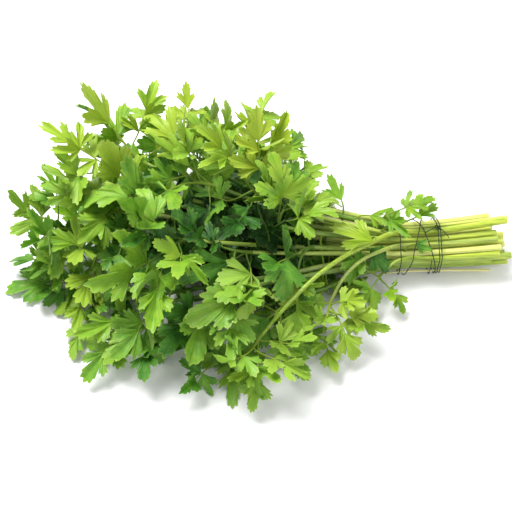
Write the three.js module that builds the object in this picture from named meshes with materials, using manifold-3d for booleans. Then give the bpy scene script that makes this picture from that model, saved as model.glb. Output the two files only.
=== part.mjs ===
// A tied bunch of flat-leaf parsley lying on its side.
// Millimetres, +Z up. The cut ends point to +X and the leaf tips to -X, and the
// bunch rests on z = 0, centred on the origin in the end. Every stem and every
// compound leaf is a piece of its own, and one thread holds the stems together.
import * as THREE from 'three';
import { mergeVertices } from 'three/addons/utils/BufferGeometryUtils.js';
import Module from 'manifold-3d';

const wasm = await Module();
wasm.setup();

// ---------------------------------------------------------------- dimensions
const GAP = 0.35; // between a stem's end and its leaf
const WELD_DISTANCE = 0.001; // corners closer than this are one
const WELD_PASSES = 3;
const TIE_X = 92; // middle of the tied stretch
const TIE_HALF_WIDTH = 11; // from the middle to each group of turns
const CUT_END_X = 146; // where the longest stems are cut off
const CUT_END_STAGGER = 12; // how much shorter the others may be
const CUT_END_SWAY = 0.1; // how far the cut ends lean towards +Y, per mm past the tie
const CUT_END_SPREAD = 0.12; // how far the stems open towards their cut ends

const STEM_RADIUS = 2.15; // at the cut end of a full-size stem
const STEM_TAPER = 0.52; // radius where the leaf starts, as a share of the cut end's
const STEM_PITCH = 4.65; // between neighbouring stem centres in the tie
const BUNDLE_MIDDLE = 9; // of the tied stems, above the lowest stem centre
const BUNDLE_FLATNESS = 1.7; // how much harder the stems are pressed along Z than along Y
const DRAW_TOGETHER = 0.004; // share of the way to the middle, in each round of packing
const PACKING_ROUNDS = 600;

const THREAD_RADIUS = 0.5;
const THREAD_CLEARANCE = 0.7; // to the stems, less at the corners of the bundle
const NEAR_TURNS_X = TIE_X + TIE_HALF_WIDTH;
const FAR_TURNS_X = TIE_X - TIE_HALF_WIDTH;

const BED_HEIGHT = STEM_RADIUS + THREAD_CLEARANCE + 2 * THREAD_RADIUS + 0.02; // lowest stem centre

const BLADE_LENGTH = 36; // of a full-size three-part side blade
const END_BLADE_LENGTH = 39; // of the blade at a leaf's end
const BLADE_THICKNESS = 0.9;
const BLADE_CLEARANCE = 2.2; // thickness kept free around each blade
const STALK_RADIUS = 0.8; // where a blade's stalk leaves the stem
const STALK_TIP_RADIUS = 0.36; // where it enters the blade, thinner than the blade
const END_STALK = 19; // length of the end blade's stalk, the leaf's midrib
const SIDE_STALK = 11; // length of a side blade's stalk
const SIDE_ANGLE = 62; // of side blades to the leaf's heading, in degrees
const PAIR_STAGGER = 0.04; // between the two of a pair, as a share of the midrib

const STEM_GREEN = 0x9dbb35;
const LEAF_GREEN = 0x5f9a2c;
const THREAD_GREEN = 0x1d2b1c;

// The loose middle of the top, where one sees in between the leaves.
const HOLLOW_MIDDLE = [-25, 1, 66];
const HOLLOW_RADII = [18, 10, 22];
const OVER_STEM_RADIUS = 7; // of the space kept open above a stem that lies on top
const OVER_STEM_OFFSET = [0, -7, 11];

const DEGREE = Math.PI / 180;

// ------------------------------------------------------------- sprig listing
// node: where the stem ends and its leaf starts.
// heading: where the leaf points, as [x, y, z].
// size: of the blades, against a full-size one.   thin: the same for the stem.
// blades: how many to a leaf, 5 unless given.   flat: the end blade lies on the surface.
// slot: wanted place in the tie, as [y, z], if the node doesn't decide it.
// via: places that the stem passes between the tie and its node.
// splay: how far the cut end stands off from the others, as [y, z].
const SPRIGS = [
  // on the surface
  { node: [-90, -14, 6], heading: [-1, -0.15, 0], flat: true },
  { node: [-62, 30, 7], heading: [-1, 0.4, 0], flat: true },
  { node: [-12, 40, 9], heading: [-0.4, 1, 0], flat: true },
  { node: [-6, -42, 9], heading: [-0.15, -1, 0], flat: true },
  // far end
  { node: [-101, 2, 26], heading: [-0.9, 0.05, 0.5], size: 0.9 },
  { node: [-64, 6, 38], heading: [-1, 0.1, 0.25] },
  { node: [-72, 22, 46], heading: [-1, 0.3, 0.3], size: 0.97 },
  { node: [-78, -9, 15], heading: [-1, -0.2, 0] },
  // back of the top
  { node: [-62, 34, 46], heading: [-0.9, 0.75, 0.3] },
  { node: [-22, 26, 48], heading: [-0.8, 0.6, 0.25] },
  { node: [0, 26, 40], heading: [-0.1, 0.97, 0.15] },
  { node: [18, 17, 26], heading: [-0.6, 0.7, 0.3], size: 0.8 },
  { node: [-34, 38, 24], heading: [-0.7, 0.8, 0] },
  // top
  { node: [-22, 17, 46], heading: [-1, 0.3, 0.3] },
  { node: [4, 10, 45], heading: [-0.6, 0.7, 0.4] },
  { node: [14, -8, 43], heading: [0.25, 0.9, 0.3], size: 0.85 },
  { node: [-38, 4, 44], heading: [-1, -0.1, 0.4], size: 1.1 },
  // front
  { node: [-36, -18, 44], heading: [-1, -0.35, 0.2], size: 1.15 },
  { node: [-2, -22, 38], heading: [-0.85, -0.5, 0.1] },
  { node: [32, -14, 26], heading: [-0.8, -0.5, 0.1] },
  { node: [2, -38, 31], heading: [-0.9, -0.6, 0.05] },
  { node: [-18, -38, 33], heading: [-0.9, -0.6, 0] },
  { node: [-52, -34, 15], heading: [-0.85, -0.6, 0] },
  { node: [-44, -38, 15], heading: [-0.7, -0.8, 0] },
  { node: [18, -37, 14], heading: [-0.7, -0.75, 0], size: 0.85 },
  // beside the tie
  {
    node: [73, 8, 29],
    heading: [0.75, 0.1, 0.5],
    slot: [5, 23],
    via: [],
    size: 0.6,
    blades: 2,
    thin: 0.6,
  },
  {
    node: [72, -20, 17],
    heading: [-0.6, -0.8, 0],
    slot: [-16, 12],
    via: [],
    size: 0.62,
    blades: 3,
    thin: 0.6,
  },
  // across the top of the bundle and down in front
  {
    node: [3, -64, 22],
    heading: [-0.1, -1, -0.15],
    slot: [-1, 22],
    via: [[72, -5, 29], [62, -12, 32], [48, -23, 36], [33, -36, 37], [18, -51, 34]],
    splay: [0, 3],
    size: 0.78,
  },
  {
    node: [41, -41, 20],
    heading: [0.35, -0.9, -0.25],
    slot: [-6, 20],
    via: [[71, -12, 26], [62, -18, 29], [50, -28, 28]],
    size: 0.65,
    thin: 0.8,
  },
  // a bare stalk caught in the tie
  { node: [70, -15, 6], slot: [-15, 1], via: [], splay: [-1, -1], blades: 0, thin: 0.4 },
];

// ------------------------------------------------------------------- helpers
const v3 = (x, y, z) => new THREE.Vector3(x, y, z);

// A repeatable number from 0 to 1 for each seed.
function fraction(seed) {
  const wave = Math.sin(seed * 127.1 + 11.7) * 43758.5453;
  return wave - Math.floor(wave);
}

// Joins the corners that faces share, so that the surface is closed.
function weld(geometry) {
  geometry.deleteAttribute('normal');
  geometry.deleteAttribute('uv');
  return mergeVertices(geometry, WELD_DISTANCE);
}

function toSolid(welded) {
  return new wasm.Manifold(new wasm.Mesh({
    numProp: 3,
    vertProperties: new Float32Array(welded.attributes.position.array),
    triVerts: new Uint32Array(welded.index.array),
  }));
}

function toGeometry(solid) {
  const { vertProperties, triVerts } = solid.getMesh();
  const geometry = new THREE.BufferGeometry();
  geometry.setAttribute('position', new THREE.BufferAttribute(vertProperties, 3));
  geometry.setIndex(new THREE.BufferAttribute(triVerts, 1));
  return geometry;
}

// The union of some solids as one body, without the tiny pockets between
// stalks that meet. Welding frees a pocket, so it takes more than one pass.
function join(solids) {
  let body = solids.reduce((whole, solid) => whole.add(solid));
  for (let pass = 0; pass < WELD_PASSES; pass += 1) {
    const bodies = toSolid(weld(toGeometry(body))).decompose();
    [body] = bodies.sort((a, b) => b.volume() - a.volume());
  }
  return body;
}

// A closed round bar along a curve, with a radius at each end.
function bar(curve, startRadius, endRadius, sides, steps) {
  const geometry = new THREE.CylinderGeometry(1, 1, 1, sides, steps);
  const frames = curve.computeFrenetFrames(steps);
  const place = geometry.attributes.position;
  for (let i = 0; i < place.count; i += 1) {
    const step = Math.round((0.5 - place.getY(i)) * steps);
    const radius = THREE.MathUtils.lerp(startRadius, endRadius, step / steps);
    const point = curve.getPointAt(step / steps)
      .addScaledVector(frames.normals[step], place.getX(i) * radius)
      .addScaledVector(frames.binormals[step], place.getZ(i) * radius);
    place.setXYZ(i, point.x, point.y, point.z);
  }
  return weld(geometry);
}

// Everything already in place, with its box, to keep new pieces clear of it.
const placed = [];

function boxOf(solid) {
  const { min, max } = solid.boundingBox();
  return new THREE.Box3(v3(...min), v3(...max));
}

function remember(solid, owner) {
  placed.push({ solid, owner, box: boxOf(solid) });
}

// Nothing in place touches the solid, but for what its owner owns.
function isClear(solid, owner) {
  const box = boxOf(solid);
  return placed.every((other) => {
    if (!box.intersectsBox(other.box) || (owner && other.owner === owner)) {
      return true;
    }
    const shared = solid.intersect(other.solid);
    const empty = shared.isEmpty();
    shared.delete();
    return empty;
  });
}

// --------------------------------------------------------------------- stems
// Stems run side by side through the tie, fan out evenly on the leaf side of
// it, and open a little towards their cut ends.
function fan(x) {
  const leafSide = Math.max(0, FAR_TURNS_X - x) / 100;
  const cutSide = Math.max(0, x - NEAR_TURNS_X) / (CUT_END_X - NEAR_TURNS_X);
  return 1 + 3.1 * leafSide ** 1.25 + CUT_END_SPREAD * cutSide;
}

function alongFan(slot, x) {
  const sway = CUT_END_SWAY * Math.max(0, x - TIE_X);
  const height = BUNDLE_MIDDLE * Math.min(0, 1 - fan(x)) * (x > TIE_X ? 0.5 : 0);
  return v3(x, slot.y * fan(x) + sway, BED_HEIGHT + slot.z * fan(x) + height);
}

// The place of each stem in the tie: where its leaf is, drawn back along the
// fan, then drawn together and pushed apart until neighbours only just touch.
function tieSlots() {
  const slots = SPRIGS.map(({ node: [x, y, z], slot }) => ({
    y: slot ? slot[0] : y / fan(x),
    z: slot ? slot[1] : (z - BED_HEIGHT) / fan(x),
  }));
  for (let round = 0; round < PACKING_ROUNDS; round += 1) {
    for (const slot of slots) {
      slot.y -= slot.y * DRAW_TOGETHER;
      slot.z -= (slot.z - BUNDLE_MIDDLE) * DRAW_TOGETHER * BUNDLE_FLATNESS;
    }
    for (let i = 0; i < slots.length; i += 1) {
      for (let j = i + 1; j < slots.length; j += 1) {
        const dy = slots[j].y - slots[i].y;
        const dz = slots[j].z - slots[i].z;
        const distance = Math.hypot(dy, dz);
        const push = Math.max(0, STEM_PITCH - distance) / 2 / distance;
        slots[i].y -= dy * push;
        slots[i].z -= dz * push;
        slots[j].y += dy * push;
        slots[j].z += dz * push;
      }
    }
  }
  const lowest = Math.min(...slots.map((slot) => slot.z));
  return slots.map(({ y, z }) => ({ y, z: z - lowest }));
}

// A stem's line: through the tie, out along the fan, and gradually across to
// where its own leaf is. share: how much of the way across it goes.
function stemCurve(sprig, slot, share, seed) {
  const cut = alongFan(slot, CUT_END_X - CUT_END_STAGGER * fraction(seed));
  if (sprig.splay) {
    cut.add(v3(0, ...sprig.splay));
  }
  const points = [cut, alongFan(slot, NEAR_TURNS_X), alongFan(slot, FAR_TURNS_X)];
  const node = v3(...sprig.node);
  if (sprig.via) {
    points.push(...sprig.via.map((place) => v3(...place)), node);
  } else {
    const aside = node.clone().sub(alongFan(slot, node.x)).multiplyScalar(share);
    for (const along of [0.25, 0.5, 0.75, 1]) {
      const x = THREE.MathUtils.lerp(FAR_TURNS_X, node.x, along);
      const part = THREE.MathUtils.smoothstep(along, 0, 1);
      points.push(alongFan(slot, x).addScaledVector(aside, part));
    }
  }
  return new THREE.CatmullRomCurve3(points, false, 'centripetal');
}

// A stem goes as far across as its neighbours let it.
function makeStem(sprig, slot, seed) {
  const radius = STEM_RADIUS * (sprig.thin ?? 1);
  let stem;
  for (const share of [1, 0.9, 0.8, 0.7, 0.6, 0.5, 0.35, 0.2, 0]) {
    const curve = stemCurve(sprig, slot, share, seed);
    const geometry = bar(curve, radius, radius * STEM_TAPER, 6, 8);
    stem = { curve, geometry, solid: toSolid(geometry) };
    if (isClear(stem.solid)) {
      break;
    }
  }
  remember(stem.solid);
  return stem;
}

// ----------------------------------------------------------------------- tie
// How far the outline around all the stems is from the bundle's middle.
// turn: 0 at the front, 0.25 on top, 0.5 at the back, 0.75 underneath.
function bundleRadius(slots, turn) {
  let least = Infinity;
  for (let step = -11; step <= 11; step += 1) {
    const aside = step * 7.5 * DEGREE;
    const angle = turn * 2 * Math.PI + aside;
    const reaches = slots.map(({ y, z }, i) => STEM_RADIUS * (SPRIGS[i].thin ?? 1)
      - y * Math.cos(angle) + (z - BUNDLE_MIDDLE) * Math.sin(angle));
    least = Math.min(least, Math.max(...reaches) / Math.cos(aside));
  }
  return least;
}

// The thread's way, as [turn, x]: two turns near the cut ends, over the top,
// one turn on the leaf side, and back over the top to the first turns.
const THREAD_WAY = [
  [-0.35, NEAR_TURNS_X + 3],
  [0, NEAR_TURNS_X + 1.4],
  [2, NEAR_TURNS_X - 1.4],
  [2.75, FAR_TURNS_X + 0.7],
  [3.75, FAR_TURNS_X - 0.7],
  [4.6, NEAR_TURNS_X - 3.2],
  [5.1, NEAR_TURNS_X - 4.6],
];
const CROSSING_TURN = 4.31; // where the way back lies over the way there
const CROSSING_LIFT = 1.5;
const CROSSING_REACH = 0.09; // in turns
const STEPS_PER_TURN = 26;

function threadCurve(slots) {
  const points = [];
  for (let turn = THREAD_WAY[0][0]; turn < THREAD_WAY.at(-1)[0]; turn += 1 / STEPS_PER_TURN) {
    const leg = THREAD_WAY.findLastIndex(([start]) => start <= turn);
    const [turnA, xA] = THREAD_WAY[leg];
    const [turnB, xB] = THREAD_WAY[leg + 1];
    const x = THREE.MathUtils.mapLinear(turn, turnA, turnB, xA, xB);
    const lift = CROSSING_LIFT * Math.exp(-(((turn - CROSSING_TURN) / CROSSING_REACH) ** 2));
    const radius = bundleRadius(slots, turn) + THREAD_CLEARANCE + THREAD_RADIUS + lift;
    const middle = alongFan({ y: 0, z: BUNDLE_MIDDLE }, x);
    points.push(middle.add(v3(
      0,
      -radius * Math.cos(turn * 2 * Math.PI),
      radius * Math.sin(turn * 2 * Math.PI),
    )));
  }
  return new THREE.CatmullRomCurve3(points, false, 'centripetal');
}

// -------------------------------------------------------------------- leaves
// Half the outline of a three-part blade of length 1, from its base to its tip.
const HALF_OUTLINE = [[0, 0.035], [0.26, 0.52], [0.5, 0.47], [0.53, 0.2], [0.78, 0.27]];

function bladeGeometry(length, thickness) {
  const right = HALF_OUTLINE.map(([x, y]) => new THREE.Vector2(x * length, y * length));
  const left = right.map(({ x, y }) => new THREE.Vector2(x, -y)).reverse();
  const outline = new THREE.Shape([...left, ...right, new THREE.Vector2(length, 0)]);
  const geometry = new THREE.ExtrudeGeometry(outline, { depth: thickness, bevelEnabled: false });
  return weld(geometry.translate(0, 0, -thickness / 2));
}

// Blade frame: X from base to tip, Z out of the upper face.
function bladeMatrix(base, axis, up) {
  const side = up.clone().cross(axis).normalize();
  const face = axis.clone().cross(side);
  return new THREE.Matrix4().makeBasis(axis, side, face).setPosition(base);
}

function stalkCurve(start, startDirection, base, axis) {
  const reach = base.distanceTo(start) / 3;
  return new THREE.CubicBezierCurve3(
    start,
    start.clone().addScaledVector(startDirection, reach),
    base.clone().addScaledVector(axis, -reach),
    base.clone().addScaledVector(axis, 1.2),
  );
}

// Ways to set a blade, from as wanted to well off it: its stalk's length, and
// its turns in degrees about its own axis, its face and its side.
const SETTINGS = [];
for (const stretch of [1, 1.35, 0.75, 1.8]) {
  for (const tilt of [0, 25, -25, 55, -55]) {
    for (const swing of [0, 20, -20, 45, -45]) {
      for (const raise of [0, 20, -20, 40]) {
        const cost = Math.abs(stretch - 1) * 40 + Math.abs(tilt)
          + Math.abs(swing) * 0.8 + Math.abs(raise);
        SETTINGS.push({ stretch, tilt, swing, raise, cost });
      }
    }
  }
}
SETTINGS.sort((a, b) => a.cost - b.cost);

// Sets one blade of a leaf on its stalk where it clears everything else.
function setBlade(leaf, { start, startDirection, direction, stalk, length, bends, flat }) {
  const { up } = leaf;
  const thin = bladeGeometry(length, BLADE_THICKNESS);
  const thick = flat ? thin : bladeGeometry(length, BLADE_CLEARANCE);
  for (const { stretch, tilt, swing, raise } of SETTINGS) {
    const side = up.clone().cross(direction).normalize();
    const axis = direction.clone()
      .applyAxisAngle(side, -raise * DEGREE)
      .applyAxisAngle(up, swing * DEGREE);
    const face = up.clone().applyAxisAngle(axis, tilt * DEGREE);
    const base = start.clone().addScaledVector(axis, stalk * stretch);
    if (flat) {
      base.setZ(BLADE_THICKNESS / 2);
      axis.setZ(0).normalize();
      face.set(0, 0, 1);
    }
    const matrix = bladeMatrix(base, axis, face);
    const room = toSolid(thick.clone().applyMatrix4(matrix));
    const curve = stalkCurve(start, startDirection, base, axis);
    const stalkBar = toSolid(bar(curve, STALK_RADIUS, STALK_TIP_RADIUS, 3, bends));
    const aboveSurface = boxOf(room).min.z > -1e-6 && boxOf(stalkBar).min.z > 0;
    if (aboveSurface && isClear(room) && isClear(stalkBar, leaf)) {
      leaf.parts.push(toSolid(thin.clone().applyMatrix4(matrix)), stalkBar);
      remember(room);
      remember(stalkBar, leaf);
      return curve;
    }
    room.delete();
  }
  return null;
}

// A compound leaf starts with the blade at its end, on the leaf's midrib. It
// is smaller where there is no room for the wanted size.
function startLeaf(sprig, curve, seed) {
  const tangent = curve.getTangentAt(1);
  const start = curve.getPointAt(1).addScaledVector(tangent, GAP);
  const heading = v3(...sprig.heading).normalize();
  const outward = v3(0, start.y, start.z - 25).normalize();
  const lean = v3(0.7 * (fraction(seed) - 0.5), 0.6 * (fraction(seed + 0.3) - 0.5), 0);
  const up = v3(0, -0.35, 1).addScaledVector(outward, 0.4).add(lean);
  up.addScaledVector(heading, -up.dot(heading)).normalize();
  const leaf = { sprig, seed, heading, up, parts: [] };
  for (const shrink of [1, 0.8, 0.65]) {
    leaf.size = (sprig.size ?? 1) * shrink;
    leaf.midrib = setBlade(leaf, {
      start,
      startDirection: tangent,
      direction: heading,
      stalk: END_STALK * leaf.size,
      length: END_BLADE_LENGTH * leaf.size,
      flat: sprig.flat,
      bends: 5,
    });
    if (leaf.midrib) {
      break;
    }
  }
  return leaf;
}

// Pairs of side blades leave the midrib further down, one a little before the other.
function addSideBlades(leaf) {
  const { blades } = leaf.sprig;
  for (const pair of blades ? [0.3] : [0.6, 0.1]) {
    for (const hand of blades === 2 ? [-1] : [1, -1]) {
      const along = pair + hand * PAIR_STAGGER;
      setBlade(leaf, {
        start: leaf.midrib.getPoint(along),
        startDirection: leaf.midrib.getTangent(along),
        direction: leaf.heading.clone().applyAxisAngle(leaf.up, hand * SIDE_ANGLE * DEGREE),
        stalk: SIDE_STALK * leaf.size,
        length: BLADE_LENGTH * leaf.size * (0.9 + 0.15 * fraction(leaf.seed + hand + pair)),
        bends: 2,
      });
    }
  }
}

// ------------------------------------------------------------------ assembly
const bunch = new THREE.Group();

function addPiece(name, geometry, color, roughness) {
  const material = new THREE.MeshStandardMaterial({ color, roughness, metalness: 0 });
  const mesh = new THREE.Mesh(geometry, material);
  mesh.name = name;
  bunch.add(mesh);
}

const numbered = (kind, i) => `${kind}_${String(i + 1).padStart(2, '0')}`;

const slots = tieSlots();
const stems = SPRIGS.map((sprig, i) => makeStem(sprig, slots[i], i));
stems.forEach(({ geometry }, i) => addPiece(numbered('stem', i), geometry, STEM_GREEN, 0.5));

const thread = bar(threadCurve(slots), THREAD_RADIUS, THREAD_RADIUS, 4, 260);
remember(toSolid(thread));
addPiece('tie_thread', thread, THREAD_GREEN, 0.7);

const hollow = weld(new THREE.SphereGeometry(1, 12, 8));
remember(toSolid(hollow.scale(...HOLLOW_RADII).translate(...HOLLOW_MIDDLE)));
for (const { via } of SPRIGS.filter((sprig) => sprig.via?.length > 1)) {
  const overStem = new THREE.CatmullRomCurve3(via.map((place) => v3(...place)));
  const room = bar(overStem, OVER_STEM_RADIUS, OVER_STEM_RADIUS, 6, 6);
  remember(toSolid(room.translate(...OVER_STEM_OFFSET)));
}

const leaves = SPRIGS.flatMap((sprig, i) => (
  sprig.blades === 0 ? [] : [startLeaf(sprig, stems[i].curve, i)]
));
leaves.forEach(addSideBlades);
leaves.forEach(({ parts }, i) => {
  addPiece(numbered('leaf', i), toGeometry(join(parts)), LEAF_GREEN, 0.6);
});

// The origin goes to the middle of the footprint, on the surface.
const middle = new THREE.Box3().setFromObject(bunch).getCenter(v3(0, 0, 0));
bunch.position.set(-middle.x, -middle.y, 0);

export default bunch;
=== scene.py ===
"""A tied bunch of flat-leaf parsley on a pale floor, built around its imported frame.

The CAD nodes give each stem's line, each leaf blade's place and the thread's
way. Every one of them is replaced by the fresh, fine form that grows there:
ribbed stems with pale cut ends, toothed and veined leaflets on thin stalks,
and a twisted thread.
"""
import math

import bpy
import numpy as np
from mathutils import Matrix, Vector


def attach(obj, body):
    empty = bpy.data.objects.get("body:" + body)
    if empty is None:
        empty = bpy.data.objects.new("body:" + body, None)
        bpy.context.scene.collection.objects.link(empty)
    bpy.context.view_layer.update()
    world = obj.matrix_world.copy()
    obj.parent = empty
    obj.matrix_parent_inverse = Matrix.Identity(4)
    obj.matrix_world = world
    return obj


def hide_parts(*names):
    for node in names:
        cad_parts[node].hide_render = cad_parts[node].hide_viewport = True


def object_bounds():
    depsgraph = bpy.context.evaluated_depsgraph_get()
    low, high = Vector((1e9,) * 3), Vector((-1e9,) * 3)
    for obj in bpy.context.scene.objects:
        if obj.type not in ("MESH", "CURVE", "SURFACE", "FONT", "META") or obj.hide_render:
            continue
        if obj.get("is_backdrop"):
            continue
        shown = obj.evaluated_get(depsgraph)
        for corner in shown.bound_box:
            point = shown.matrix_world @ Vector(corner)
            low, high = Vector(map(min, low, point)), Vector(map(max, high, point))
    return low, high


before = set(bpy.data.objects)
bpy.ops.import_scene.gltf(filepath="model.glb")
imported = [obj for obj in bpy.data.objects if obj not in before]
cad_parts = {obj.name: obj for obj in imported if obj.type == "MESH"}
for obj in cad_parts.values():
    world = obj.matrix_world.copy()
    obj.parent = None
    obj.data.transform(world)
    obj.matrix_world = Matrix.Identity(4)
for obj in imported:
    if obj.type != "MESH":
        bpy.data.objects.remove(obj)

# Lengths are in metres and angles in radians, unless a comment says mm or degrees. A value that
# is drawn at random has the lowest and highest that it may be.
MM = 0.001
ANY_PHASE = (0, 6)
SHARP_ANGLE = math.radians(60)
UPWARDS = np.array([0, 0, 1])

# --------------------------------------------------------- reading the frame
# The CAD blade's half outline, for a blade of length 1, from its base to its tip.
BLADE_HALF = [(0, 0.035), (0.26, 0.52), (0.5, 0.47), (0.53, 0.2), (0.78, 0.27)]
WIDEST = 1  # the outline's widest corner
LEAST_BLADE_AREA = 150 * MM**2
LEAST_BLADE_LENGTH = 5 * MM
LEAST_TRIANGLE_AREA = 1e-4 * MM**2
SAME_PLANE = 0.02 * MM
SAME_DIRECTION = 0.9999  # cosine between the normals of one flat face
WELD_DIGITS = 6  # decimals that corners are rounded to before they are joined
# These are too small to show, and keep a direction from being divided by 0.
LEAST_CROSS, ADDED_TO_CROSS = 1e-15, 1e-12

# -------------------------------------------------------------------- stems
STEM_SIDES = 24
STEM_STEPS = 56
STEM_RIBS = 8
# How far the ribs, the oval and the waves stand out, as shares of the radius.
RIB_DEPTH = 0.055
STEM_OVAL = 0.05
STEM_WAVE = 0.025
WAVE_ANGLE = (9, 16)  # that the waves go through along a stem
MOST_DRIFT = 1.2  # of the angle of ribs and oval along a stem
# The cut end is a pith sunk a little, a rounded rim, and then the stem's side. Each of its rings
# has a distance along the stem and a share of the stem's radius.
CUT_RINGS = ((0.5 * MM, 0.4), (0.1 * MM, 0.72), (0.0, 0.93), (0.35 * MM, 1.0))
CUT_MARKS = (1.0, 0.8, 0.5)  # how much the first rings have the look of the cut
STEM_PALE_END = 138 * MM  # X from which stems grow greener towards the leaves
STEM_GREENING = 130 * MM  # and over what length
DRY_STEMS = ("stem_12", "stem_30")  # pale tan ones
MOST_DRYNESS = 0.6  # of the others, before it is squared
OVERLYING_LEAVES = ("leaf_28", "leaf_29")  # on the stems that cross over the top
OVERLYING_STEM_GREEN = 0.6  # how green those stems become

# ----------------------------------------------------------------- leaflets
# The teeth of the lobes, as angle to the lobe's vein in degrees, and reach. A side lobe has
# more of them on its outside.
MIDDLE_TEETH = (
    ((-33, 0.7), (-18, 0.88), (0, 1.0), (18, 0.88), (33, 0.7)),
    ((-30, 0.76), (-14, 0.94), (4, 1.0), (24, 0.8)),
    ((-34, 0.62), (-25, 0.78), (-12, 0.92), (0, 1.0), (12, 0.92), (25, 0.78), (34, 0.62)),
)
SIDE_TEETH = (
    ((-22, 0.84), (0, 1.0), (22, 0.9), (44, 0.72)),
    ((-20, 0.8), (0, 1.0), (24, 0.84)),
    ((-24, 0.74), (-12, 0.92), (2, 1.0), (20, 0.92), (40, 0.74)),
)
# A slim lobe's teeth stand at smaller angles, and reach less far beside its vein.
WIDE_LOBE, SLIMMING = 1.12, 0.4
WIDE_LOBE_SHORTFALL, SLIM_SHORTENING = 0.85, 0.5
# A leaflet of length 1, flat. Places are measured ahead of its base and to its side.
MIDDLE_LOBE_ROOT = np.array([0.36, 0.0])
MIDDLE_LOBE_LENGTH = 0.64
MIDDLE_TOOTH_DEPTH = (0.1, 0.16)  # with the fewest teeth, and less with more
FEWEST_MIDDLE_TEETH = 4
SIDE_LOBE_ROOT = np.array([0.25, 0.12])
SIDE_LOBE_LEAN = (38, 47)  # degrees
SIDE_LOBE_LENGTH = (0.38, 0.5)
SIDE_TOOTH_DEPTH = (0.12, 0.2)
TOOTH_ROUNDNESS = (0.6, 0.78)  # height of a tooth halfway down its side
COLUMN_STEP = 0.25  # of a tooth, from one column to the next
UNEVENNESS = 0.025  # of the margin, against the lobe's length
CORNER_LEAD = 0.3  # past a lobe's last tooth, as a share of the angle to the tooth before
CORNER_DROP = 0.05  # how much less far the corner reaches than that tooth
SINUS_ANGLE = math.radians(18.5)  # where the cut between two lobes lies
SINUS_REACH = (0.32, 0.52)
SHOULDER = np.array([0.21, 0.2])  # where the wedge of the base ends
SHOULDER_STRETCH = (0.85, 1.15)
# How the flat leaflet is shaped.
LEAFLET_WIDTH = (0.85, 1.1)
LOBE_CREASE = (0.0, 0.09)
CREASE_ROUNDING = 0.1
VEIN_PUFF = (0.002, 0.007)
PUFF_RISE = 1.5  # how soon it is full on the way to the margin
MARGIN_CURL = 0.05
CURL_SPACING = 4  # columns
FOLD = (-0.15, 0.6)
FOLD_ROUNDING = 0.05
FOLDED_MORE_SHARE = 0.15
FOLDED_MORE = (0.2, 0.6)
LOBE_DROOP = (-0.1, 0.7)
MOST_TWIST = 0.5
BEND, BEND_SPREAD = 0.3, 0.5
LEAST_BEND = 0.05
LEAFLET_LEVELS = (0.16, 0.36, 0.56, 0.75, 0.9, 1.0)  # of its rows, from its base to its margin
INNER_LEVELS = (0.35, 0.7, 1.0)
LEAF_THICKNESS = 0.3 * MM
LOWEST_LEAF = 0.4 * MM  # of a leaf's middle above the floor
FLOOR_GIVE = 0.02  # the share that stays of how far a leaf would be below that
FLOOR_EASE = 0.6 * MM  # how much leaves rise off the floor near to it
RIM_HIGHLIGHT_START = 0.972  # of the painted highlight along a leaflet's rim
# What a point belongs to.
TOP, UNDERSIDE, STALK = 0, 1, 2
# The vein in the middle of a lobe shows all along, and the others from here on.
MAIN_VEIN = 0.1
OTHER_VEINS_START, OTHER_VEINS_FADE = 0.25, 0.3

# ------------------------------------------------------------------- stalks
STALK_SIDES = 6
STALK_STEPS = 10
SIDE_STALK_RADIUS = 0.62 * MM
LEAFLET_STALK_RADIUS = 0.432 * MM
STALK_END_RADIUS = 0.36 * MM
SIDE_STALK_STARTS = np.linspace(0.02, 0.7, 35)  # places where one may leave the midrib
SHOOT_LEAD = 8 * MM  # how far before its base a shoot's stalk leaves the stem

# --------------------------------------------------------------- leaf parts
# Each leaflet of a leaf part of length 1: where its foot is, its hand, its swing to that hand,
# and its length.
THREE_LEAFLETS = (
    (0.28, 1, (-0.2, 0.2), (0.6, 0.7)),
    (0.08, 1, (0.85, 1.2), (0.5, 0.64)),
    (0.11, -1, (0.85, 1.2), (0.5, 0.64)),
)
FIVE_LEAFLETS = (
    (0.46, 1, (-0.2, 0.2), (0.5, 0.58)),
    (0.32, 1, (0.75, 1.05), (0.4, 0.5)),
    (0.34, -1, (0.75, 1.05), (0.4, 0.5)),
    (0.05, 1, (1.0, 1.35), (0.4, 0.52)),
    (0.08, -1, (1.0, 1.35), (0.4, 0.52)),
)
LEAST_OF_FIVE = 30 * MM  # length of a leaf part that may have five leaflets
SHARE_OF_FIVE = 0.3
LEAFLET_DIP = (-0.75, 0.45)  # below 0 it rises
LEAFLET_ROLL = (-0.9, 0.9)
LEAFLET_SHADES = 0.12  # how far the tones in one leaf part spread
# Most CAD blades longer than this become leaf parts, and the others a single leaflet.
LEAST_OF_THREE = 20 * MM
SHARE_OF_THREE = 0.87
SINGLE_LEAFLET = 0.8  # length against the CAD blade

# Small leaf parts on thin stalks from the stems fill the inside of the bunch.
INNER_PLACES = np.arange(0.38, 0.97, 0.09)  # as shares of the stem
INNER_PLACE_SPREAD = 0.04
INNER_LEAVES_END = 48 * MM  # nearer to the tie than this, stems are bare
INNER_REACH = (9, 16)  # mm from the stem
INNER_LENGTH = (24, 29.9)  # mm, too short for five leaflets
FACING = np.array([0, -0.3, 1])  # up, and a little to the front
# Some head for the middle of the bunch,
MIDDLE_Y = 8 * MM
MIDDLE_Z = (12, 34)  # mm
MIDDLE_SPREAD = 12 * MM
MIDDLE_AHEAD = (0.2, 1.2)  # how much they follow the stem
MIDDLE_FACING_SPREAD = 0.4
LOWEST_MIDDLE = 4 * MM
# and the others lie low, under the rest.
LOW_SPREAD = np.array([12, 24, 0]) * MM
LOW_Z = (3, 9)  # mm
LOW_HEADING_X = (-1, 0.3)
LOW_FACING = np.array([0, -0.25, 1])
LOW_FACING_SPREAD = 0.15

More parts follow.
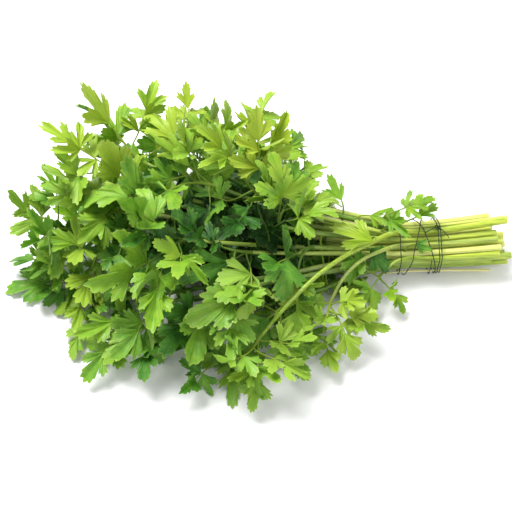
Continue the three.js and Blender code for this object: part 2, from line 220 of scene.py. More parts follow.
# Single leaflets that grow out between the stems near the tie: their base in mm and heading,
# their length in mm, and their tone.
SIDE_SHOOTS = {
    "leaf_10": [((66, 19, 27), (0.8, -0.5, 0.1), 12, (0.25, 0.8))],
    "leaf_11": [((79, 24, 28), (-0.3, -0.8, 0.15), 15, (0.35, 0.7))],
    "leaf_12": [((50, 25, 33), (-0.4, 0.8, 0.2), 18, (0.4, 0.6))],
    "leaf_15": [((76, 11, 27), (0.5, 0.6, 0.3), 12, (0.4, 0.5))],
    "leaf_16": [((65, -7, 37), (-0.88, 0.4, 0.1), 26, (0.12, 0.95))],
    "leaf_19": [
        ((57, -9, 25), (-0.3, -0.9, -0.1), 17, (0.45, 0.5)),
        ((91, 1, 24), (0.8, -0.4, 0.1), 10, (0.6, 0.3)),
    ],
    "leaf_20": [((64, -5, 28), (0.75, -0.6, -0.2), 20, (0.75, 0.2))],
    "leaf_26": [((92, 13, 34), (0.75, 0.5, 0.1), 15, (0.35, 0.4))],
}
# Leaf parts past the CAD's blades and between them: their base in mm and heading, and their
# length in mm.
OUTER_GROUPS = {
    "leaf_01": [
        ((-100, -14, 6), (-0.9, -0.5, 0), 27),
        ((-92, -42, 7), (-0.4, -0.9, 0), 22),
    ],
    "leaf_02": [((-98, 28, 7), (-0.9, 0.35, 0), 26)],
    "leaf_03": [((-8, 36, 20), (-0.3, 0.9, 0.1), 26)],
    "leaf_04": [((-26, -70, 7), (-0.7, -0.7, 0), 24)],
    "leaf_08": [
        ((-116, -4, 16), (-1, 0, 0), 29),
        ((-84, -20, 7), (-0.2, -1, 0), 29),
        ((-84, 6, 6), (-0.6, -0.8, 0), 26),
    ],
    "leaf_10": [((-37, 64, 58), (-0.1, 0.9, 0.3), 24)],
    "leaf_11": [((3, 62, 57), (0.25, 0.9, 0.25), 26)],
    "leaf_12": [((16, 53, 45), (0.75, 0.6, 0), 25)],
    "leaf_15": [((-15, 16, 44), (-0.9, 0.3, 0.1), 28)],
    "leaf_16": [((14, 10, 40), (-0.9, 0.3, 0.1), 26)],
    "leaf_23": [
        ((-76, -54, 12), (-0.45, -0.9, 0), 29),
        ((-68, -18, 7), (-0.3, -0.9, 0), 27),
    ],
    "leaf_24": [((-56, -56, 15), (-0.1, -1, -0.1), 28)],
    "leaf_29": [
        ((52, -44, 16), (0.95, -0.2, -0.1), 24),
        ((38, -52, 9), (0.3, -1, -0.1), 22),
    ],
}

# -------------------------------------------------------------------- tones
# A tone is two numbers from 0 to 1: how deep a leaf's green is, with painted shade and painted
# light in it, and how warm. Here places and lengths are in mm.
DEPTH, DEPTH_SPREAD = 0.28, 0.18
WARMTH, WARMTH_SPREAD = 0.3, 0.25
# Painted shade: how much deeper the green is painted where other leaves lie above.
PAINTED_COVER_SHADE = 0.35
SHADE_REACH = 18  # around a leaf in which others above it shade it
FULL_COVER = 30  # height of others above it
# Painted shade deepens the green in the hollow along the middle, which lies at this X, and this
# far along a direction up and to the back.
PAINTED_HOLLOW_SHADE = 0.62
HOLLOW_X, HOLLOW_X_REACH = -8, 52
HOLLOW_WAY = np.array([0, 0.82, 0.57])
HOLLOW_LEVEL, HOLLOW_LEVEL_REACH = 19, 20
# How much painted light makes leaves lighter, and how much warmer they get, in some directions:
# from where on and over what length.
PAINTED_LIGHT = (
    (np.array([0, 1, 0]), 0.16, 8, 35),
    (np.array([1, 0, 0]), 0.34, 12, 40),
    (np.array([0, -1, 0]), 0.18, 15, 35),
    (np.array([-1, 0, 0]), 0.16, 45, 40),
)
WARMER = (
    (np.array([0, 1, 0]), 0.5, 0, 40),
    (np.array([1, 0, 0]), 0.45, 20, 40),
)
DEEPER_LEAVES = {"leaf_26": 0.45, "leaf_27": 0.5}  # leaves low on the stems, of deeper green

# ------------------------------------------------------------------- thread
THREAD_SIDES = 10
THREAD_STEPS = 900
THREAD_SHARE = 0.64  # of the CAD thread's thickness
PLY_DEPTH = 0.13
QUARTER_TURNS = 260  # of its two plies around each other
KNOT_X = 104 * MM
KNOT_X_REACH = 5 * MM
KNOT_SIZE = 0.55 * MM
KNOT_FLATNESS = 0.8
KNOT_STEPS = 48
KNOT_QUARTER_TURNS = 12
# The thread's short ends: where each goes from the knot in mm, and their bow, as shares of that
# way and heights above it.
THREAD_ENDS = ((-7, -3, -0.8), (6, -6, -1.6))
THREAD_END_BOW = ((0.3, 2 * MM), (0.7, 1.5 * MM))
THREAD_END_QUARTER_TURNS = 8

# -------------------------------------------------------------------- stage
FLOOR_REACH = 3.0  # from its middle to each side
SKY_STRENGTH = 0.64
# Each light's place, size, and power in watts.
LIGHTS = {
    "key": ((-0.32, 0.32, 0.85), 0.45, 13.5),
    "fill": ((0.6, -0.5, 0.6), 0.7, 3.0),
}
CAMERA_TARGET = Vector((1.2, -4.4, 20)) * MM
CAMERA_ELEVATION = math.radians(55)
CAMERA_DISTANCE = 520 * MM
CAMERA_LENS = 65  # mm
CAMERA_CLIP = 20 * MM

cad_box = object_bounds()


# ------------------------------------------------------------- small helpers
def unit(v):
    return v / np.linalg.norm(v, axis=-1, keepdims=True)


def square_to(axis, v):
    """The direction square to axis that is nearest to v."""
    return unit(v - v @ axis * axis)


def turned(v, axis, angle):
    """v turned about axis."""
    c, s = math.cos(angle), math.sin(angle)
    return v * c + np.cross(axis, v) * s + axis * (axis @ v) * (1 - c)


def smooth(x):
    """0 to 1 with flat ends, as x goes from 0 to 1."""
    x = np.clip(x, 0, 1)
    return x * x * (3 - 2 * x)


def rounded_size(x, rounding):
    """The size of x whatever its sign, rounded off near 0."""
    return np.sqrt(x**2 + rounding**2) - rounding


def rounded_rows(rows, count):
    """Points (or any rows of numbers) evenly spaced on a smooth line through the given rows."""
    rows = np.asarray(rows, float)
    before, after = 2 * rows[0] - rows[1], 2 * rows[-1] - rows[-2]
    p = np.vstack([before, rows, after])
    t = np.linspace(0, len(rows) - 1, count)
    i = np.minimum(t.astype(int), len(rows) - 2)
    t = (t - i)[:, None]
    a, b, c, d = p[i], p[i + 1], p[i + 2], p[i + 3]
    return b + t / 2 * (c - a + t * (2 * a - 5 * b + 4 * c - d + t * (3 * (b - c) + d - a)))


def bezier(corners, t):
    """Points and directions of a cubic Bezier at t."""
    a, b, c, d = corners
    t = np.asarray(t, float)[..., None]
    s = 1 - t
    point = s**3 * a + 3 * s * s * t * b + 3 * s * t * t * c + t**3 * d
    direction = s * s * (b - a) + 2 * s * t * (c - b) + t * t * (d - c)
    return point, unit(direction)


def frames_along(points):
    """Two cross directions at each point of a line, turning as little as they can."""
    ahead = unit(np.gradient(points, axis=0))
    across = np.zeros_like(points)
    side = np.cross(ahead[0], UPWARDS)
    for i, direction in enumerate(ahead):
        side = square_to(direction, side)
        across[i] = side
    return across, np.cross(ahead, across)


class Skin:
    """The points, faces and marks of one piece. Each point has eight marks, which its material
    reads: four in the attribute "look" and four in "place"."""

    def __init__(self):
        self.points, self.marks, self.faces, self.count = [], [], [], 0

    def add(self, points, faces, marks):
        self.points.append(points)
        self.marks.append(marks)
        self.faces.extend([[i + self.count for i in face] for face in faces])
        self.count += len(points)

    def piece(self, name, node, material):
        mesh = bpy.data.meshes.new(name)
        mesh.from_pydata(np.vstack(self.points).tolist(), [], self.faces)
        marks = np.vstack(self.marks).astype(np.float32)
        for attribute, part in (("look", marks[:, :4]), ("place", marks[:, 4:])):
            colors = mesh.attributes.new(attribute, "FLOAT_COLOR", "POINT")
            colors.data.foreach_set("color", part.ravel())
        mesh.shade_smooth()
        mesh.set_sharp_from_angle(angle=SHARP_ANGLE)
        mesh.materials.append(material)
        obj = bpy.data.objects.new(name, mesh)
        bpy.context.scene.collection.objects.link(obj)
        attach(obj, "root")
        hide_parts(node)


def tube(skin, points, radii, sides, marks, ridge=None):
    """A closed round bar along a line. radii has one radius for each point, marks has its eight
    marks, and ridge, if given, has a factor for each point and side."""
    across, above = frames_along(points)
    turn = np.arange(sides) / sides * 2 * np.pi
    shape = np.ones((len(points), sides)) if ridge is None else ridge
    reach = (np.asarray(radii)[:, None] * shape)[..., None]
    rings = (
        points[:, None]
        + reach * np.cos(turn)[None, :, None] * across[:, None]
        + reach * np.sin(turn)[None, :, None] * above[:, None]
    )
    n = len(points)
    after = [(j + 1) % sides for j in range(sides)]
    faces = [
        (i * sides + j, i * sides + after[j], (i + 1) * sides + after[j], (i + 1) * sides + j)
        for i in range(n - 1)
        for j in range(sides)
    ]
    first, last, last_ring = n * sides, n * sides + 1, (n - 1) * sides
    faces += [(first, after[j], j) for j in range(sides)]
    faces += [(last, last_ring + j, last_ring + after[j]) for j in range(sides)]
    skin.add(
        np.vstack([rings.reshape(-1, 3), points[:1], points[-1:]]),
        faces,
        np.vstack([np.repeat(marks, sides, axis=0), marks[:1], marks[-1:]]),
    )


# --------------------------------------------------------- reading the frame
def welded(node):
    """A CAD node's corners and triangles, with each corner only once."""
    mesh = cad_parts[node].data
    corners = np.array([v.co for v in mesh.vertices], float)
    triangles = np.array([p.vertices for p in mesh.polygons])
    corners = np.round(corners, WELD_DIGITS)
    points, index = np.unique(corners, axis=0, return_inverse=True)
    return points, index.reshape(-1)[triangles]


def normals_and_areas(points, triangles):
    a, b, c = (points[triangles[:, k]] for k in range(3))
    cross = np.cross(b - a, c - a)
    length = np.linalg.norm(cross, axis=1)
    return cross / np.maximum(length, LEAST_CROSS)[:, None], length / 2


def bar_line(node):
    """The middle and radius of each ring of a CAD bar, from its end at the highest X."""
    points, triangles = welded(node)
    normals, _ = normals_and_areas(points, triangles)
    near = [set() for _ in points]
    total = np.zeros_like(points)
    for triangle, normal in zip(triangles, normals):
        for i in triangle:
            near[i].update(triangle)
            total[i] += normal
    # The triangles around a corner have one normal only at the middle of each end.
    flat = np.linalg.norm(total, axis=1) / [len(n) - 1 for n in near]
    ends = np.argsort(-flat)[:2]
    level = {max(ends, key=lambda i: points[i][0])}
    seen, rings = set(level), []
    while True:
        level = {j for i in level for j in near[i]} - seen
        if len(level) < 2:
            break
        seen |= level
        rings.append(points[list(level)])
    middles = np.array([ring.mean(0) for ring in rings])
    radii = np.array([np.linalg.norm(r - m, axis=1).mean() for r, m in zip(rings, middles)])
    return middles, radii


def flat_faces(node):
    """The large flat faces of a CAD leaf, as (corners, normal)."""
    points, triangles = welded(node)
    normals, areas = normals_and_areas(points, triangles)
    heights = np.einsum("ij,ij->i", normals, points[triangles[:, 0]])
    left = areas > LEAST_TRIANGLE_AREA
    for seed in np.argsort(-areas):
        if not left[seed]:
            continue
        same = left & (normals @ normals[seed] > SAME_DIRECTION)
        same &= np.abs(heights - heights[seed]) < SAME_PLANE
        face = {seed}
        corners = set(triangles[seed])
        growing = True
        while growing:
            more = [
                i for i in np.flatnonzero(same) if i not in face and corners & set(triangles[i])
            ]
            growing = bool(more)
            face.update(more)
            corners.update(j for i in more for j in triangles[i])
        face = list(face)
        left[face] = False
        if areas[face].sum() > LEAST_BLADE_AREA:
            yield points[list(corners)], normals[seed]


class Blade:
    """Where a CAD blade lies: its base, middle and length, and the directions to its tip, its
    side and up. The known outline is laid on every two corners, and the best fit is kept."""

    def __init__(self, corners, normal):
        # Any two directions in the face will do.
        side = unit(np.cross(normal, (0.3, 0.9, 0.1)))
        other = np.cross(normal, side)
        flat = corners @ side + 1j * (corners @ other)
        half = np.array([x + 1j * y for x, y in BLADE_HALF])
        outline = np.concatenate([half, half.conj(), [1.0]])
        shoulders = half[WIDEST], half[WIDEST].conj()
        best = math.inf
        for p in flat:
            for q in flat:
                turn = (p - q) / (shoulders[0] - shoulders[1])
                if abs(turn) < LEAST_BLADE_LENGTH:
                    continue
                base = p - turn * shoulders[0]
                off = np.abs((turn * outline + base)[:, None] - flat[None]).min(1)
                score = np.minimum(off, MM).sum() / abs(turn)
                if score < best:
                    best, best_turn, best_base = score, turn, base
        height = (corners @ normal).mean()
        self.length = abs(best_turn)
        self.base = best_base.real * side + best_base.imag * other + height * normal
        self.axis = unit(best_turn.real * side + best_turn.imag * other)
        self.middle = self.base + self.axis * self.length / 2
        self.up = normal
        self.side = np.cross(self.up, self.axis)


def blades_of(node):
    """A CAD leaf's blades, each read off its upper face."""
    return [Blade(corners, normal) for corners, normal in flat_faces(node) if normal[2] > 0]


blades = {node: blades_of(node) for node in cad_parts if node.startswith("leaf_")}
blade_middles = np.array([blade.middle for each in blades.values() for blade in each])


# -------------------------------------------------------------------- stems
def make_stem(node, material, rng):
    """A ribbed stem with a cut end. Gives its line, and its radius at the leaf. Its marks are its
    own tone, and how cut, how near to the leaves and how dry it is."""
    middles, radii = bar_line(node)
    line = rounded_rows(np.column_stack([middles, radii]), STEM_STEPS)
    points, radii = line[:, :3], line[:, 3]
    leads, shares = np.array(CUT_RINGS).T
    ahead = unit(points[1] - points[0])
    points = np.vstack([points[0] + np.outer(leads, ahead), points[1:]])
    radii = np.concatenate([radii[0] * shares, radii[1:]])
    steps = len(points)
    along = np.linspace(0, 1, steps)[:, None]
    turn = np.arange(STEM_SIDES)[None] / STEM_SIDES * 2 * np.pi
    drift = rng.uniform(-MOST_DRIFT, MOST_DRIFT) * along
    ridge = 1 + RIB_DEPTH * np.cos(STEM_RIBS * turn + drift)
    ridge *= 1 + STEM_OVAL * np.cos(2 * turn + rng.uniform(*ANY_PHASE) + drift)
    wave = along * rng.uniform(*WAVE_ANGLE) + rng.uniform(*ANY_PHASE)
    ridge *= 1 + STEM_WAVE * np.sin(wave)
    cut = np.zeros(steps)
    cut[: len(CUT_MARKS)] = CUT_MARKS
    leafward = smooth((STEM_PALE_END - points[:, 0]) / STEM_GREENING)
    if node.replace("stem", "leaf") in OVERLYING_LEAVES:
        leafward *= OVERLYING_STEM_GREEN
    dry = 1.0 if node in DRY_STEMS else rng.uniform(0, MOST_DRYNESS) ** 2
    marks = np.zeros((steps, 8))
    for column, mark in enumerate((rng.uniform(), cut, leafward, dry)):
        marks[:, column] = mark
    skin = Skin()
    tube(skin, points, radii, STEM_SIDES, marks, ridge / ridge.max())
    skin.piece(node + "_ribbed", node, material)
    return points, radii[-1]


# ------------------------------------------------------------------ leaflets
def lobe_columns(root, lean, length, teeth, depth, rng):
    """The columns of one lobe, from its one corner to its other: where each ends on the
    margin, its place across the lobe from -1 to 1, and how near it is to a vein."""
    angles, reaches = np.array(teeth).T
    count = len(teeth)
    main = 1 + int(np.argmin(np.abs(angles)))
    first = (1 + CORNER_LEAD) * angles[0] - CORNER_LEAD * angles[1]
    last = (1 + CORNER_LEAD) * angles[-1] - CORNER_LEAD * angles[-2]
    angles = np.radians([first, *angles, last])
    reaches = [reaches[0] - CORNER_DROP, *reaches, reaches[-1] - CORNER_DROP]
    # Tooth k has its tip at k, and its cuts half a tooth before and after.
    k = np.arange(0.5, count + 0.5 + COLUMN_STEP / 2, COLUMN_STEP)
    from_tip = np.abs(k - np.round(k))
    rise = np.interp(from_tip, [0, 0.25, 0.5], [1, rng.uniform(*TOOTH_ROUNDNESS), 0])
    reach = np.interp(k, np.arange(count + 2), reaches) - depth * (1 - rise)
    reach = length * (reach + UNEVENNESS * rng.uniform(-1, 1, len(k)))
    angle = lean + np.interp(k, np.arange(count + 2), angles)
    ends = root + reach[:, None] * np.column_stack([np.cos(angle), np.sin(angle)])
    across = np.interp(k, [0.5, main, count + 0.5], [-1, 0, 1])
    return ends, across, np.interp(from_tip, [0, 0.5], [1, 0])


def slimmed(teeth, slim):
    """A lobe's teeth drawn in around its vein, by more as slim goes from 0 to 1."""
    width = WIDE_LOBE - SLIMMING * slim
    shortfall = WIDE_LOBE_SHORTFALL + SLIM_SHORTENING * slim
    return [(angle * width, 1 - (1 - reach) * shortfall) for angle, reach in teeth]


def leaflet_outline(rng):
    """Three lobes' columns, side by side: end, control point, place across and vein."""
    ends, bows, across, veins = [], [], [], []
    slim = rng.uniform()
    for hand in (-1, 0, 1):
        if hand:
            root = SIDE_LOBE_ROOT * (1, hand)
            lean = hand * math.radians(rng.uniform(*SIDE_LOBE_LEAN))
            length, depth = rng.uniform(*SIDE_LOBE_LENGTH), rng.uniform(*SIDE_TOOTH_DEPTH)
            teeth = SIDE_TEETH[rng.integers(len(SIDE_TEETH))]
            if hand < 0:
                teeth = [(-angle, reach) for angle, reach in reversed(teeth)]
        else:
            root, lean, length = MIDDLE_LOBE_ROOT, 0.0, MIDDLE_LOBE_LENGTH
            teeth = MIDDLE_TEETH[rng.integers(len(MIDDLE_TEETH))]
            depth = rng.uniform(*MIDDLE_TOOTH_DEPTH)
            depth = depth * (FEWEST_MIDDLE_TEETH + 1) / (len(teeth) + 1)
        e, u, v = lobe_columns(root, lean, length, slimmed(teeth, slim), depth, rng)
        outwards = np.abs(u)[:, None] ** 3
        ends.append(e)
        bows.append(root * (1 - outwards) + e / 2 * outwards)
        across.append(u)
        veins.append(v)
    # Neighbouring lobes share the column that ends in the cut between them.
    for lobe, hand in ((0, -1), (1, 1)):
        sinus = np.array([math.cos(SINUS_ANGLE), hand * math.sin(SINUS_ANGLE)])
        cut = rng.uniform(*SINUS_REACH) * sinus
        ends[lobe][-1], bows[lobe][-1] = cut, cut / 2
    # The first and the last column end where the wedge of the base does.
    for outermost, hand in ((0, -1), (-1, 1)):
        corner = SHOULDER * (rng.uniform(*SHOULDER_STRETCH), hand)
        ends[outermost][outermost], bows[outermost][outermost] = corner, corner / 2
    return [np.concatenate([p[0], p[1][1:], p[2][1:]]) for p in (ends, bows, across, veins)]


def leaflet_shape(outline, reach, rng):
    """How far ahead of its base, to its side and up the points of a leaflet of length 1 are. It
    has a row for each reach from base to margin, and the outline's columns."""
    ends, bows, across, vein = outline
    flat = (2 * reach * (1 - reach))[..., None] * bows + (reach**2)[..., None] * ends
    x, y = flat[..., 0], flat[..., 1] * rng.uniform(*LEAFLET_WIDTH)
    # Each lobe is folded along its vein, and the blade bows up a little between side veins.
    crease = rng.uniform(*LOBE_CREASE) * rounded_size(across, CREASE_ROUNDING)
    puff = rng.uniform(*VEIN_PUFF) * (1 - vein)
    z = crease * reach + puff * smooth(reach * PUFF_RISE)
    knots = CURL_SPACING * np.arange(len(across) // CURL_SPACING + 2)
    curls = rng.uniform(-MARGIN_CURL, MARGIN_CURL, len(knots))
    z = z + np.interp(np.arange(len(across)), knots, curls) * reach**3
    # Folded along its middle, with lobes that droop.
    fold = rng.uniform(*FOLD) + (rng.uniform() < FOLDED_MORE_SHARE) * rng.uniform(*FOLDED_MORE)
    z = z + np.sin(fold) * rounded_size(y, FOLD_ROUNDING)
    y = y * np.cos(fold)
    z = z - rng.uniform(*LOBE_DROOP) * y**2
    # Twisted and bent along its length.
    twist = rng.uniform(-MOST_TWIST, MOST_TWIST) * x
    y, z = y * np.cos(twist) - z * np.sin(twist), y * np.sin(twist) + z * np.cos(twist)
    bend = rng.normal(BEND, BEND_SPREAD)
    bend = math.copysign(max(abs(bend), LEAST_BEND), bend)
    turn = x * bend
    x, z = np.sin(turn) / bend + z * np.sin(turn), z * np.cos(turn) - (1 - np.cos(turn)) / bend
    return x[..., None], y[..., None], z[..., None]


def above_floor(height):
    """Heights of a leaf's middle, with those too low for the floor pressed nearly flat on it."""
    lift = height - LOWEST_LEAF
    pressed = np.where(lift > 0, lift, FLOOR_GIVE * lift)
    return LOWEST_LEAF + pressed + FLOOR_EASE * np.exp(-np.abs(lift) / MM)


def thin_blade(skin, middle, base, marks):
    """A thin closed blade: a grid of points thickened to both sides, and drawn together at its
    base. The rim belongs to both sides, so the underside has points of its own only inside."""
    rows, columns = middle.shape[:2]
    cross = np.cross(np.gradient(middle, axis=0), np.gradient(middle, axis=1))
    normal = unit(cross + ADDED_TO_CROSS)
    inside = np.ones((rows, columns), bool)
    inside[-1] = inside[:, 0] = inside[:, -1] = False
    offset = normal * (LEAF_THICKNESS / 2 * inside)[..., None]
    root = rows * columns
    upper = np.arange(root).reshape(rows, columns)
    lower = upper.copy()
    lower[inside] = root + 1 + np.arange(inside.sum())
    faces = []
    for grid, flip in ((upper, False), (lower, True)):
        for j in range(columns - 1):
            strip = [(root, grid[0, j], grid[0, j + 1])]
            for i in range(rows - 1):
                strip.append((grid[i, j], grid[i + 1, j], grid[i + 1, j + 1], grid[i, j + 1]))
            faces += [face[::-1] for face in strip] if flip else strip
    lower_marks = marks[inside]
    lower_marks[:, 2] = UNDERSIDE
    root_marks = [*marks[0, 0, :2], TOP, 0, 1, 1, 0, 0]
    skin.add(
        np.vstack([(middle + offset).reshape(-1, 3), base[None], (middle - offset)[inside]]),
        faces,
        np.vstack([marks.reshape(-1, 8), root_marks, lower_marks]),
    )


def leaflet(skin, base, axis, side, up, length, rng, tone, levels=LEAFLET_LEVELS):
    """A leaflet: a wedge from its base that opens into three toothed lobes. Its marks are the
    two of its tone, what the point belongs to and an unused one, and then how near it is to a
    vein, whether that vein shows, its reach to the margin, and the leaflet's own number."""
    outline = leaflet_outline(rng)
    reach = np.array(levels)[:, None]
    x, y, z = leaflet_shape(outline, reach, rng)
    middle = base + length * (x * axis + y * side + z * up)
    middle[..., 2] = above_floor(middle[..., 2])
    _, _, across, vein = outline
    others = smooth((reach - OTHER_VEINS_START) / OTHER_VEINS_FADE)
    shows = np.where(np.abs(across) < MAIN_VEIN, 1.0, others)
    marks = np.zeros((*middle.shape[:2], 8))
    for index, mark in enumerate((*tone, TOP, 0, vein, shows, reach, rng.uniform())):
        marks[..., index] = mark
    thin_blade(skin, middle, base, marks)


def way_to(start, ahead, base, axis):
    """The corners of a stalk that leaves start ahead and runs into a base along its axis."""
    reach = np.linalg.norm(base - start) / 3
    return [start, start + ahead * reach, base - axis * reach, base + axis * MM]


def stalk(skin, corners, radius, tone):
    """A thin round stalk along a Bezier, above the floor."""
    points, _ = bezier(corners, np.linspace(0, 1, STALK_STEPS))
    radii = np.linspace(radius, STALK_END_RADIUS, STALK_STEPS)
    points[:, 2] = np.maximum(points[:, 2], radii)
    marks = np.tile([*tone, STALK, 0, 0, 0, 0, 0], (STALK_STEPS, 1))
    tube(skin, points, radii, STALK_SIDES, marks)


# --------------------------------------------------------------- leaf parts
def along_ways(place, ways):
    """How much a table such as PAINTED_LIGHT or WARMER gives at a place."""
    return sum(
        amount * smooth((place @ way - start) / length) for way, amount, start, length in ways
    )


def tone_at(node, place, rng):
    """A leaf's tone. Painted shade deepens the green where others lie above it and in the hollow
    along the middle, and painted light makes it lighter in some directions; it is warmer towards
    the back and the tie."""
    place, middles = place / MM, blade_middles / MM
    around = np.linalg.norm(middles[:, :2] - place[:2], axis=1) < SHADE_REACH
    cover = (middles[around, 2] - place[2]).max(initial=0)
    off_x = (place[0] - HOLLOW_X) / HOLLOW_X_REACH
    off_level = (place @ HOLLOW_WAY - HOLLOW_LEVEL) / HOLLOW_LEVEL_REACH
    hollow = math.exp(-(off_x**2) - off_level**2)
    depth = DEPTH + PAINTED_COVER_SHADE * smooth(cover / FULL_COVER) + PAINTED_HOLLOW_SHADE * hollow
    depth += rng.uniform(-DEPTH_SPREAD, DEPTH_SPREAD) - along_ways(place, PAINTED_LIGHT)
    warmth = WARMTH + along_ways(place, WARMER) + rng.uniform(-WARMTH_SPREAD, WARMTH_SPREAD)
    return np.clip([depth + DEEPER_LEAVES.get(node, 0.0), warmth], 0, 1)


def leaflet_group(skin, base, axis, up, length, rng, tone, levels=LEAFLET_LEVELS):
    """Three or five leaflets of one leaf part, each on a short stalk of its own."""
    five = length > LEAST_OF_FIVE and rng.uniform() < SHARE_OF_FIVE
    plans = [
        (start, hand * rng.uniform(*swing), rng.uniform(*size))
        for start, hand, swing, size in (FIVE_LEAFLETS if five else THREE_LEAFLETS)
    ]
    for start, swing, size in plans:
        foot = base + axis * start * length
        foot[2] = max(foot[2], LOWEST_LEAF)
        ahead = turned(axis, up, swing)
        ahead = turned(ahead, np.cross(up, ahead), rng.uniform(*LEAFLET_DIP))
        across = unit(np.cross(up, ahead))
        face = turned(np.cross(ahead, across), ahead, rng.uniform(*LEAFLET_ROLL))
        side = np.cross(face, ahead)
        shade = np.clip(tone + rng.uniform(-LEAFLET_SHADES, LEAFLET_SHADES, 2), 0, 1)
        leaflet(skin, foot, ahead, side, face, size * length, rng, shade, levels)
        corners = [base, (base + foot) / 2, foot, foot + ahead * MM]
        stalk(skin, corners, LEAFLET_STALK_RADIUS, tone)


def leaflets_on(skin, node, blade, rng):
    """A group of leaflets where the CAD has one three-part blade, or one large leaflet."""
    tone = tone_at(node, blade.middle, rng)
    base, axis, up, length = blade.base, blade.axis, blade.up, blade.length
    if length > LEAST_OF_THREE and rng.uniform() < SHARE_OF_THREE:
        leaflet_group(skin, base, axis, up, length, rng, tone)
    else:
        leaflet(skin, base, axis, blade.side, up, SINGLE_LEAFLET * length, rng, tone)


def middle_place(start, ahead, reach, rng):
    """Base, heading and facing of an inner leaf part that grows towards the bunch's middle."""
    wanted = np.array([start[0], MIDDLE_Y, rng.uniform(*MIDDLE_Z) * MM])
    inwards = unit(wanted - start + rng.normal(0, MIDDLE_SPREAD, 3))
    heading = unit(inwards + ahead * rng.uniform(*MIDDLE_AHEAD))
    base = start + heading * reach
    base[2] = max(base[2], LOWEST_MIDDLE)
    return base, heading, FACING + rng.normal(0, MIDDLE_FACING_SPREAD, 3)


def low_place(start, rng):
    """Base, heading and facing of an inner leaf part that lies low."""
    base = start + rng.uniform(-1, 1, 3) * LOW_SPREAD
    base[2] = rng.uniform(*LOW_Z) * MM
    heading = unit(np.array([rng.uniform(*LOW_HEADING_X), rng.uniform(-1, 1), 0]))
    return base, heading, LOW_FACING + rng.normal(0, LOW_FACING_SPREAD, 3)


def inner_leaves(skin, node, line, rng):
    """Leaf parts along a stem, in turn towards the middle of the bunch and low."""
    places = INNER_PLACES + rng.uniform(-INNER_PLACE_SPREAD, INNER_PLACE_SPREAD)
    for turn, share in enumerate(places):
        i = int(share * len(line))
        start, ahead = line[i], unit(line[i + 1] - line[i - 1])
        if start[0] > INNER_LEAVES_END:
            continue
        reach = rng.uniform(*INNER_REACH) * MM
        if turn % 2:
            base, heading, facing = low_place(start, rng)
        else:
            base, heading, facing = middle_place(start, ahead, reach, rng)
        tone = tone_at(node, base, rng)
        bow = [start + ahead * reach / 2, base - heading * reach / 3]
        stalk(skin, [start, *bow, base + heading * MM], SIDE_STALK_RADIUS, tone)
        up, length = square_to(heading, facing), rng.uniform(*INNER_LENGTH) * MM
        leaflet_group(skin, base, heading, up, length, rng, tone, INNER_LEVELS)


def shoot_stalk(skin, line, base, heading, tone):
    """A stalk to base from a line near to it. Gives the heading and up direction there."""
    heading = unit(np.array(heading, float))
    start = line[np.argmin(np.linalg.norm(line - (base - heading * SHOOT_LEAD), axis=1))]
    stalk(skin, way_to(start, UPWARDS, base, heading), SIDE_STALK_RADIUS, tone)
    return heading, square_to(heading, FACING)


def make_leaf(node, line, radius, material, rng):
    """A compound leaf. Its stalks run from its stem into the CAD's blades, on which its leaflets
    lie, and further ones grow from its stem and its midrib."""
    place, direction = line[-1], unit(line[-1] - line[-3])
    in_order = sorted(blades[node], key=lambda b: -np.linalg.norm(b.base - place))
    end_blade, side_blades = in_order[0], in_order[1:]
    midrib = way_to(place, direction, end_blade.base, end_blade.axis)
    tone = tone_at(node, np.mean([b.base for b in in_order], axis=0), rng)
    skin = Skin()
    if node not in OVERLYING_LEAVES:
        inner_leaves(skin, node, line, rng)
    stalk(skin, midrib, radius, tone)
    leaflets_on(skin, node, end_blade, rng)
    starts, directions = bezier(midrib, SIDE_STALK_STARTS)
    for blade in side_blades:
        # A side stalk starts from where it can go straight on into its blade.
        best = int(np.argmax(unit(blade.base - starts) @ blade.axis))
        corners = way_to(starts[best], directions[best], blade.base, blade.axis)
        stalk(skin, corners, SIDE_STALK_RADIUS, tone)
        leaflets_on(skin, node, blade, rng)
    for base, heading, length, shoot_tone in SIDE_SHOOTS.get(node, ()):
        base = np.array(base) * MM
        ahead, up = shoot_stalk(skin, line, base, heading, shoot_tone)
        leaflet(skin, base, ahead, np.cross(up, ahead), up, length * MM, rng, shoot_tone)
    for base, heading, length in OUTER_GROUPS.get(node, ()):
        base = np.array(base) * MM
        ahead, up = shoot_stalk(skin, starts, base, heading, tone)
        leaflet_group(skin, base, ahead, up, length * MM, rng, tone_at(node, base, rng))
    skin.piece(node + "_toothed", node, material)


# -------------------------------------------------------------------- thread
def twisted(skin, points, radius, quarter_turns):
    """A thread along a line, of two plies that turn around each other."""
    around = np.arange(THREAD_SIDES)[None] / THREAD_SIDES * 2 * np.pi
    twist = np.linspace(0, quarter_turns * np.pi / 2, len(points))[:, None]
    ridge = 1 + PLY_DEPTH * np.cos(2 * (around - twist))
    radii = np.full(len(points), radius)
    marks = np.zeros((len(points), 8))
    tube(skin, points, radii, THREAD_SIDES, marks, ridge / (1 + PLY_DEPTH))


